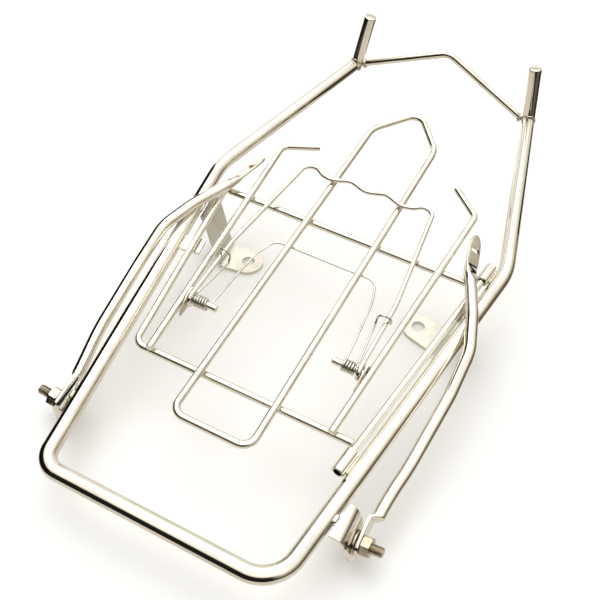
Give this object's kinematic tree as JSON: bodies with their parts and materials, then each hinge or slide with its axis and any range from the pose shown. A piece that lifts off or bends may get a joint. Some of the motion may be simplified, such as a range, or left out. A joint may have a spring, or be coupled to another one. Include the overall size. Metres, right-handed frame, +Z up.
{
  "type": "folding luggage rack",
  "caption": "Bent-tube luggage rack for a scooter: wire load tray with open hooks, a sprung wire clip, upright end pegs, and bolted stays that swing over the frame.",
  "frame": {"origin": "middle of the footprint, on the floor the rack stands on", "axes": "+X to the side with the hinge rod, +Y towards the two upright pegs, +Z up; seen with the plain near bar in front"},
  "size_m": [0.2876, 0.5362, 0.1357],
  "materials": {
    "bright_nickel": "bright plated",
    "zinc_hardware": "zinc plated, satin",
    "spring_wire": "drawn spring wire"
  },
  "bodies": {
    "frame": {"main_frame_tube": "bright_nickel", "peaked_cross_wire": "bright_nickel", "near_cross_and_edge_rod": "bright_nickel", "far_cross_rod": "bright_nickel", "hinge_rod": "bright_nickel", "centre_loop": "bright_nickel", "near_hinge_knuckle": "bright_nickel", "far_hinge_knuckle": "bright_nickel", "tray_rest_tab": "bright_nickel", "torsion_spring": "spring_wire", "left_end_peg": "bright_nickel", "left_mount_tab": "bright_nickel", "left_strut_lug": "bright_nickel", "left_pivot_bolt": "zinc_hardware", "left_pivot_washer": "zinc_hardware", "left_pivot_nut": "zinc_hardware", "left_hook_rod": "bright_nickel", "left_pivot_pin": "bright_nickel", "left_pin_bracket": "zinc_hardware", "right_end_peg": "bright_nickel", "right_mount_tab": "bright_nickel", "right_strut_lug": "bright_nickel", "right_pivot_bolt": "zinc_hardware", "right_pivot_washer": "zinc_hardware", "right_pivot_nut": "zinc_hardware", "right_hook_rod": "bright_nickel", "right_pivot_pin": "bright_nickel", "right_pin_bracket": "zinc_hardware"},
    "clip": {"clip_wire": "bright_nickel", "left_spring_arm": "spring_wire", "right_spring_arm": "spring_wire"},
    "left_strut": {"left_strut": "bright_nickel"},
    "right_strut": {"right_strut": "bright_nickel"}
  },
  "joints": [
    {"name": "clip_hinge", "type": "hinge", "parent": "frame", "child": "clip", "pos_m": [0, -0.09464, 0.05907], "axis": [1, 0, 0], "range_deg": [0, 100], "stiffness_Nm_per_rad": 0.5, "springref_deg": -60.16},
    {"name": "left_strut_hinge", "type": "hinge", "parent": "frame", "child": "left_strut", "pos_m": [-0.12315, -0.20415, 0.01998], "axis": [0.9848, 0.0151, -0.173], "range_deg": [0, 165]},
    {"name": "right_strut_hinge", "type": "hinge", "parent": "frame", "child": "right_strut", "pos_m": [0.12644, -0.20066, 0.02028], "axis": [0.9848, -0.0151, 0.173], "range_deg": [0, 165]}
  ]
}
